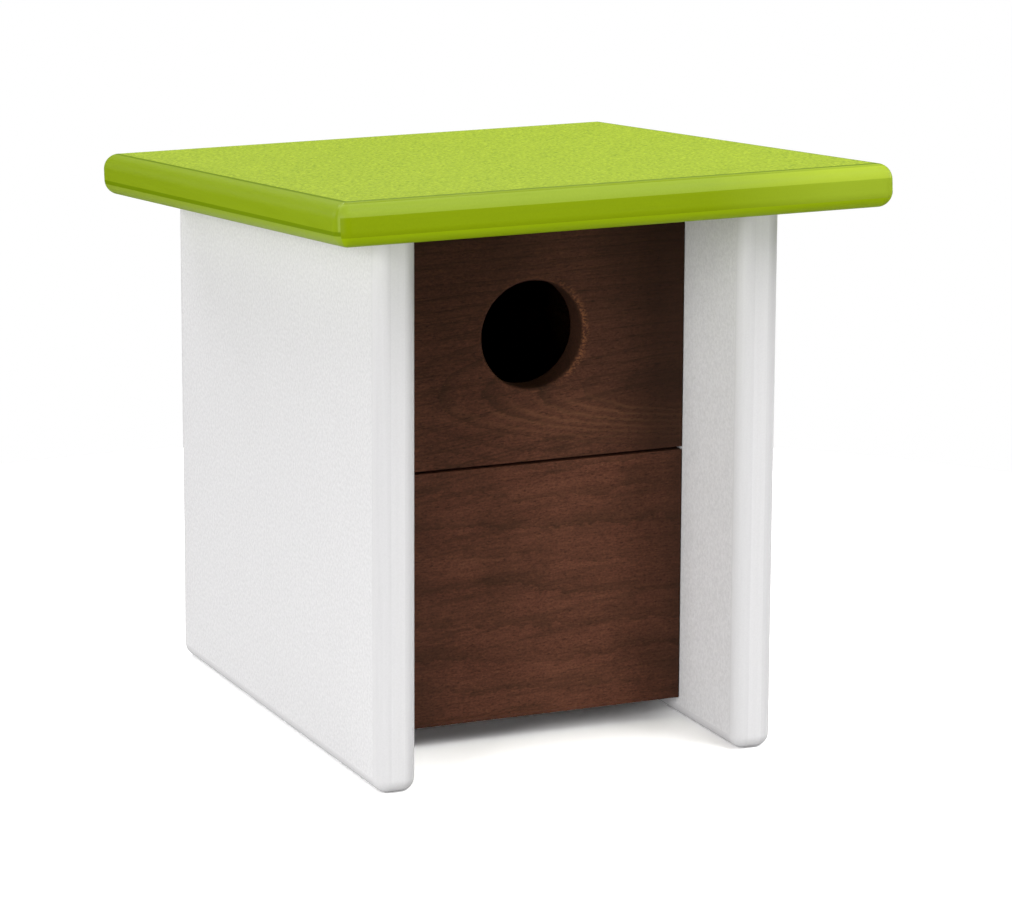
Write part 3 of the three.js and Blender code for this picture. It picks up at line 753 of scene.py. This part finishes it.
WOODS = {
    "front_upper_board": dark_wood("wood_front_upper", "X", "Z", upper_figure),
    "clean_out_door": dark_wood("wood_door", "X", "Z", door_figure),
    "upper_back_board": dark_wood("wood_upper_back", "X", "Z", Figure(5.0, (-30.0, 330.0))),
    "lower_back_board": dark_wood("wood_lower_back", "X", "Z", Figure(8.0, (40.0, 20.0), 5.0, 9.0)),
    "floor_board": dark_wood("wood_floor", "Y", "X", Figure(11.0, (0.0, -180.0), 4.0, 10.0)),
    "left_upper_wall_board": dark_wood("wood_left_upper", "Y", "Z", Figure(13.0, (30.0, 300.0))),
    "right_upper_wall_board": dark_wood("wood_right_upper", "Y", "Z", Figure(17.0, (-20, 310), 5.0, 9.0)),
    "left_lower_wall_board": dark_wood("wood_left_lower", "Y", "Z", Figure(19.0, (10.0, -60.0))),
    "right_lower_wall_board": dark_wood("wood_right_lower", "Y", "Z", Figure(23.0, (-40, 70), 5.0, 8.0)),
    "left_roof_cleat": dark_wood("wood_left_cleat", "Y", "Z", Figure(29.0, (0.0, 330.0), 6.0, 7.0)),
    "right_roof_cleat": dark_wood("wood_right_cleat", "Y", "Z", Figure(31.0, (0.0, 340.0), 6.0, 7.0)),
}

# ---------------------------------------------------- plastic sheet pieces


def rounded_slab(half_x, half_y, round_over):
    """Rings through a slab of the sheet's thickness, rounded over on both faces; middle at the origin."""
    lower = []
    for i in range(ROUND_STEPS + 1):
        angle = math.pi / 2 * i / ROUND_STEPS
        lower.append((round_over * (1 - math.sin(angle)), round_over * (1 - math.cos(angle)) - SHEET / 2))
    upper = [(inset, -height) for inset, height in reversed(lower)]
    rings = []
    for inset, height in lower + upper:
        corner = max(SHEET_CORNER - inset, 0.05 * MM)
        outline = rounded_rectangle(half_x - inset, half_y - inset, corner, CORNER_STEPS)
        rings.append([Vector((x, y, height)) for x, y in outline])
    return rings


# On the roof ROUND holds painted highlight, LINE painted shade and LOW_ROUND painted light; on the side
# panels ROUND holds painted shade.
FACE, EDGE_ACROSS, EDGE_ALONG, ROUND, LINE, LOW_ROUND = range(6)


def paint_sheet(thing, face_normal, across):
    """Gives the sheet's two faces one material, and its edges one for each direction."""
    for face in thing.data.polygons:
        facing = abs(face.normal.dot(face_normal))
        crosswise = abs(face.normal.dot(across)) > 0.5 * math.sqrt(1 - facing**2 + 1e-9)
        if facing > 0.9995:
            face.material_index = FACE
        elif crosswise:
            face.material_index = EDGE_ACROSS
        else:
            face.material_index = EDGE_ALONG


def paint_panel_rounds(thing, face_normal):
    """Painted shade: a slightly greyer white on a side panel's rounds."""
    for face in thing.data.polygons:
        if face.material_index != FACE and abs(face.normal.dot(face_normal)) > 0.03:
            face.material_index = ROUND


def paint_roof_rounds(thing):
    """Painted highlights and painted shade: bands of paler and darker green along the roof's rounds, as
    soft light shows them, and a paler glint at the front left corner.

    A face's rise is how far its normal is turned up from the edge, in degrees: 90 is the top face.
    """
    for face in thing.data.polygons:
        if face.material_index == FACE:
            continue
        rise = math.degrees(math.asin(max(-1, min(1, face.normal.dot(ROOF_UP)))))
        frontness = -face.normal.dot(DOWN_SLOPE) / max(math.cos(math.radians(rise)), 1e-6)
        front_or_back = abs(frontness) > 0.7
        left_corner_glint = 0.56 < frontness < 0.7 and face.normal.x < 0 and rise > -1
        # Painted shade line under the top face; painted highlight bands on the front and back rounds and a
        # glint at the front left corner; painted light on the lower front and back rounds; on the sides a
        # painted highlight on the lower round and a painted shade line over it.
        if rise > 72:
            face.material_index = LINE
        elif left_corner_glint or (front_or_back and 8 < rise < 60):
            face.material_index = ROUND
        elif front_or_back and rise < -25:
            face.material_index = LOW_ROUND
        elif not front_or_back and rise < -14:
            face.material_index = ROUND
        elif not front_or_back and rise < -1:
            face.material_index = LINE


def make_roof():
    """The roof slab, tilted down to the back."""
    low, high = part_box("roof_panel")
    core = high.y - low.y - 2 * ROOF_ROUND - (SHEET - 2 * ROOF_ROUND) * math.sin(ROOF_SLOPE)
    half_length = core / math.cos(ROOF_SLOPE) / 2 + ROOF_ROUND
    centre = (low + high) / 2
    rings = []
    for ring in rounded_slab((high.x - low.x) / 2, half_length, ROOF_ROUND):
        rings.append([centre + Vector((p.x, 0, 0)) + DOWN_SLOPE * p.y + ROOF_UP * p.z for p in ring])
    materials = [lime_face, lime_front_shade_and_sheen, lime_edge_side, lime_highlight, lime_shade_line, lime_lit_low_round]
    roof = add_object("roof_sheet", finish_mesh(skin(rings), "roof_sheet"), materials)
    paint_sheet(roof, ROOF_UP, DOWN_SLOPE)
    paint_roof_rounds(roof)
    shade(roof)
    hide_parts("roof_panel")
    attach(roof, "house")


def bore(name, place, direction, radius, length):
    """A plain round cutter from the place along the direction."""
    matrix = towards(direction, place)
    return turned(name, [(radius, 0), (radius, length)], matrix, [])


def roof_room(side_box):
    """A block over the sheet's sawn top edge, tilted with the roof."""
    low, high = side_box
    room = bpy.data.objects.new("roof_room", bpy.data.meshes.new("roof_room"))
    bpy.context.scene.collection.objects.link(room)
    width, length, height = 0.1, 0.5, 0.1
    centre = Vector(((low.x + high.x) / 2, low.y, high.z)) + DOWN_SLOPE * 0.1 + ROOF_UP * height / 2
    mesh = bmesh.new()
    bmesh.ops.create_cube(mesh, size=1)
    mesh.transform(Matrix.Diagonal((width, length, height, 1)))
    mesh.transform(Matrix.Translation(centre) @ Matrix.Rotation(-ROOF_SLOPE, 4, "X"))
    mesh.to_mesh(room.data)
    mesh.free()
    return room


def make_side_panel(side, sign):
    """A side panel: a rounded slab on edge, cut off under the roof, with its pivot and lock bores."""
    node = f"{side}_side_panel"
    low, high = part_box(node)
    centre = (low + high) / 2
    half_x = (high.x - low.x) / 2
    tall = high.z - low.z + SHEET
    middle_point = Vector((centre.x, centre.y, low.z + tall / 2))
    rings = []
    for ring in rounded_slab((high.y - low.y) / 2, tall / 2, PANEL_ROUND):
        rings.append([middle_point + Vector((p.z, p.x, p.y)) for p in ring])
    materials = [white_face, white_edge_upright, white_edge_low, white_round_shaded]
    panel = add_object(f"{side}_sheet", finish_mesh(skin(rings), f"{side}_sheet"), materials)
    outward = Vector((sign, 0, 0))
    pin = middle(f"{side}_pivot_pin")
    inner = centre.x - sign * half_x
    pin_place = Vector((inner - sign * MM, pin.y, pin.z))
    pivot_bore = bore("pivot_cut", pin_place, outward, PIVOT_ROOM, PIVOT_BORE_LENGTH)
    cutters = [roof_room((low, high)), pivot_bore]
    if sign > 0:
        lock = middle("lock_knob")
        ring_low, ring_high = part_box("lock_pin_ring")
        lock_place = Vector((inner - MM, lock.y, lock.z))
        cutters.append(bore("lock_cut", lock_place, outward, LOCK_ROOM, SHEET + 2 * MM))
        seat = Vector((ring_low.x - 0.35 * MM, lock.y, lock.z))
        seat_radius = (ring_high.y - ring_low.y) / 2 + 0.3 * MM
        cutters.append(bore("seat_cut", seat, outward, seat_radius, RING_SEAT_DEPTH))
    carve(panel, cutters)
    paint_sheet(panel, outward, Vector((0, 1, 0)))
    paint_panel_rounds(panel, outward)
    shade(panel)
    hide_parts(node)
    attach(panel, "house")


# ---------------------------------------------------- wood pieces


def cad_copy(node, name, materials):
    """The CAD node's own shape as a clean mesh, its coplanar triangles joined into faces."""
    mesh = bmesh.new()
    mesh.from_mesh(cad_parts[node].data)
    bmesh.ops.remove_doubles(mesh, verts=mesh.verts, dist=1e-6)
    bmesh.ops.dissolve_limit(mesh, angle_limit=math.radians(1), verts=mesh.verts, edges=mesh.edges)
    data = finish_mesh(mesh, name)
    data.materials.clear()
    return add_object(name, data, materials)


def make_eased(node, body, material, width, steps=3):
    """The CAD node with small rounds on its edges."""
    piece = cad_copy(node, f"{node}_eased", [material])
    ease(piece, width, steps)
    for face in piece.data.polygons:
        face.material_index = 0
    shade(piece)
    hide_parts(node)
    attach(piece, body)
    return piece


def hole_cutter(front):
    """A bore whose rim flares out in a quarter round at the board's front face."""
    profile = [(HOLE_RADIUS, 40 * MM)]
    steps = 8
    for i in range(steps + 1):
        angle = math.pi / 2 * i / steps
        flare = HOLE_EASE * (1 - math.cos(angle))
        profile.append((HOLE_RADIUS + flare, HOLE_EASE * (1 - math.sin(angle))))
    profile.append((HOLE_RADIUS + HOLE_EASE, -MM))
    place = Vector((HOLE_CENTRE.x, front, HOLE_CENTRE.z))
    return turned("hole_cut", profile, towards(Vector((0, 1, 0)), place), [], 128)


def slab(name, low, high, top_fall=0.0):
    """A box, its top edge falling towards the back by the slope given."""
    base = [(low.x, low.y), (high.x, low.y), (high.x, high.y), (low.x, high.y)]
    bottom = [Vector((x, y, low.z)) for x, y in base]
    top = [Vector((x, y, high.z - (y - low.y) * top_fall)) for x, y in base]
    return add_object(name, finish_mesh(skin([bottom, top]), name), [])


def make_front_board():
    """The upper front board: entrance hole with an eased rim, toe-hold kerfs inside, blind dowel holes."""
    node = "front_upper_board"
    low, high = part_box(node)
    board = slab("front_board", low, high, math.tan(ROOF_SLOPE))
    ease(board, BOARD_EASE)
    kerfs = []
    for i in range(KERF_COUNT):
        top = HOLE_CENTRE.z - HOLE_RADIUS - KERF_BELOW_HOLE - i * KERF_STEP
        start = Vector((HOLE_CENTRE.x - KERF_HALF_LENGTH, high.y - KERF_DEPTH, top - KERF_WIDTH))
        end = Vector((HOLE_CENTRE.x + KERF_HALF_LENGTH, high.y + MM, top))
        kerfs.append(slab("kerf_cut", start, end))
    dowels = []
    for side in ("left", "right"):
        for number in (1, 2):
            dowel_low, dowel_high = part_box(f"{side}_front_dowel_{number}")
            centre = (dowel_low + dowel_high) / 2
            place = Vector((centre.x, dowel_low.y - 0.3 * MM, centre.z))
            radius = (dowel_high.z - dowel_low.z) / 2 + 0.2 * MM
            dowels.append(bore("dowel_cut", place, Vector((0, 1, 0)), radius, 20 * MM))
    carve(board, [hole_cutter(low.y), *kerfs, *dowels])
    board.data.materials.clear()
    board.data.materials.append(WOODS[node])
    shade(board)
    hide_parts(node)
    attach(board, "house")


# ---------------------------------------------------- steel and rubber pieces


def screw_line(node):
    """Where a screw's head lies, the way it is driven and its length, from the CAD node's own points."""
    points = np.array([v.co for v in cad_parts[node].data.vertices], float)
    centre = points.mean(0)
    axis = np.linalg.svd(points - centre)[2][0]
    heights = (points - centre) @ axis
    radii = np.linalg.norm(points - centre - np.outer(heights, axis), axis=1)
    if heights[radii.argmax()] > heights.mean():
        axis, heights = -axis, -heights
    line = Vector(axis)
    on_axis = Vector((points - np.outer(heights, axis))[np.isclose(heights, heights.max())].mean(0))
    return on_axis + line * float(heights.min()), line, float(heights.max() - heights.min())


def make_screw(node):
    """A countersunk screw with a six-lobed socket and a ring for each turn of its thread."""
    head, line, length = screw_line(node)
    socket, star = 1.5 * MM, 0.22 * MM
    profile = [(socket * 0.35, 1.5 * MM), (socket, 1.3 * MM), (socket, 0.1 * MM), (socket + 0.12 * MM, 0)]
    profile += [(3.85 * MM, 0), (4 * MM, 0.12 * MM), (4 * MM, 0.3 * MM), (2 * MM, 2.4 * MM)]
    height = 3.2 * MM
    while height < length - 4 * MM:
        profile += [(1.55 * MM, height), (2 * MM, height + 0.75 * MM)]
        height += 1.5 * MM
    profile += [(1.5 * MM, length - 3.4 * MM), (0.15 * MM, length)]

    def lobes(row, angle):
        return star * math.cos(6 * angle) if 1 <= row <= 3 else 0.0

    screw = turned(f"{node}_turned", profile, towards(line, head), [steel_turned], wave=lobes)
    shade(screw)
    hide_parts(node)
    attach(screw, "house")


def make_pin(node, body, radius):
    """A plain steel pin along X with rounded noses."""
    low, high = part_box(node)
    centre = (low + high) / 2
    length = high.x - low.x
    nose = 0.8 * MM
    profile = []
    for i in range(5):
        angle = math.pi / 2 * i / 4
        profile.append((radius - nose + nose * math.sin(angle), nose * (1 - math.cos(angle))))
    profile += [(r, length - h) for r, h in reversed(profile)]
    matrix = towards(Vector((1, 0, 0)), Vector((low.x, centre.y, centre.z)))
    pin = turned(f"{node}_turned", profile, matrix, [steel_turned])
    shade(pin)
    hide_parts(node)
    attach(pin, body)


def make_knob():
    """The lock's knurled steel knob."""
    low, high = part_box("lock_knob")
    centre = (low + high) / 2
    radius, length = (high.y - low.y) / 2, high.x - low.x
    chamfer, ridge = 0.7 * MM, 0.22 * MM
    profile = [(radius - 1.4 * MM, 0), (radius - chamfer, 0.15 * MM), (radius - ridge, chamfer)]
    profile += [(radius - ridge, length - chamfer - 0.6 * MM), (radius - chamfer, length - 0.35 * MM)]
    profile += [(radius - 1.6 * MM, length), (2 * MM, length - 0.4 * MM), (0.5 * MM, length - 0.45 * MM)]

    def knurl(row, angle):
        return ridge * math.cos(36 * angle) if row in (2, 3) else 0.0

    matrix = towards(Vector((1, 0, 0)), Vector((low.x, centre.y, centre.z)))
    knob = turned("lock_knob_turned", profile, matrix, [steel_turned], 288, knurl)
    shade(knob, 50)
    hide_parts("lock_knob")
    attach(knob, "lock")


def make_ring():
    """The rubber ring that grips the lock pin, in its seat in the right side panel."""
    low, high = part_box("lock_pin_ring")
    centre = (low + high) / 2
    tube = (high.x - low.x) / 2
    radius = (high.y - low.y) / 2 - tube
    rings = []
    tube_steps = 20
    for i in range(TURNED_STEPS):
        angle = 2 * math.pi * i / TURNED_STEPS
        out = Vector((0, math.cos(angle), math.sin(angle)))
        ring = []
        for j in range(tube_steps):
            turn = 2 * math.pi * j / tube_steps
            offset = out * (radius + tube * math.cos(turn)) + Vector((tube * math.sin(turn), 0, 0))
            ring.append(centre + offset)
        rings.append(ring)
    mesh = finish_mesh(skin(rings, closed=True), "lock_ring")
    ring_piece = add_object("lock_ring_round", mesh, [black_rubber])
    shade(ring_piece)
    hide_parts("lock_pin_ring")
    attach(ring_piece, "house")


# ---------------------------------------------------- floor


def make_floor():
    """A round pale table top that the object stands on."""
    count = 128
    angles = [2 * math.pi * i / count for i in range(count)]
    rings = []
    for height in (-FLOOR_THICKNESS, 0):
        centre = Vector((0, 0, height))
        rings.append([centre + FLOOR_RADIUS * Vector((math.cos(a), math.sin(a), 0)) for a in angles])
    floor = add_object("floor", finish_mesh(skin(rings), "floor"), [floor_white("floor_white")])


# ---------------------------------------------------- everything together

bpy.context.scene.view_settings.view_transform = "Standard"
make_camera()
make_world()
make_lights()
make_floor()

make_roof()
make_side_panel("left", -1)
make_side_panel("right", 1)
make_front_board()
make_eased("clean_out_door", "door", WOODS["clean_out_door"], BOARD_EASE)
for board, wood in WOODS.items():
    if board not in ("front_upper_board", "clean_out_door"):
        make_eased(board, "house", wood, LINER_EASE, 2)
for side in ("left", "right"):
    for number in (1, 2):
        make_eased(f"{side}_front_dowel_{number}", "house", dowel_wood, DOWEL_EASE, 2)
    make_pin(f"{side}_pivot_pin", "door", PIVOT_RADIUS)
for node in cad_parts:
    if "screw" in node:
        make_screw(node)
make_eased("keyhole_hanger_plate", "house", steel_plate, PLATE_EASE, 2)
make_pin("lock_pin", "lock", LOCK_RADIUS)
make_knob()
make_ring()
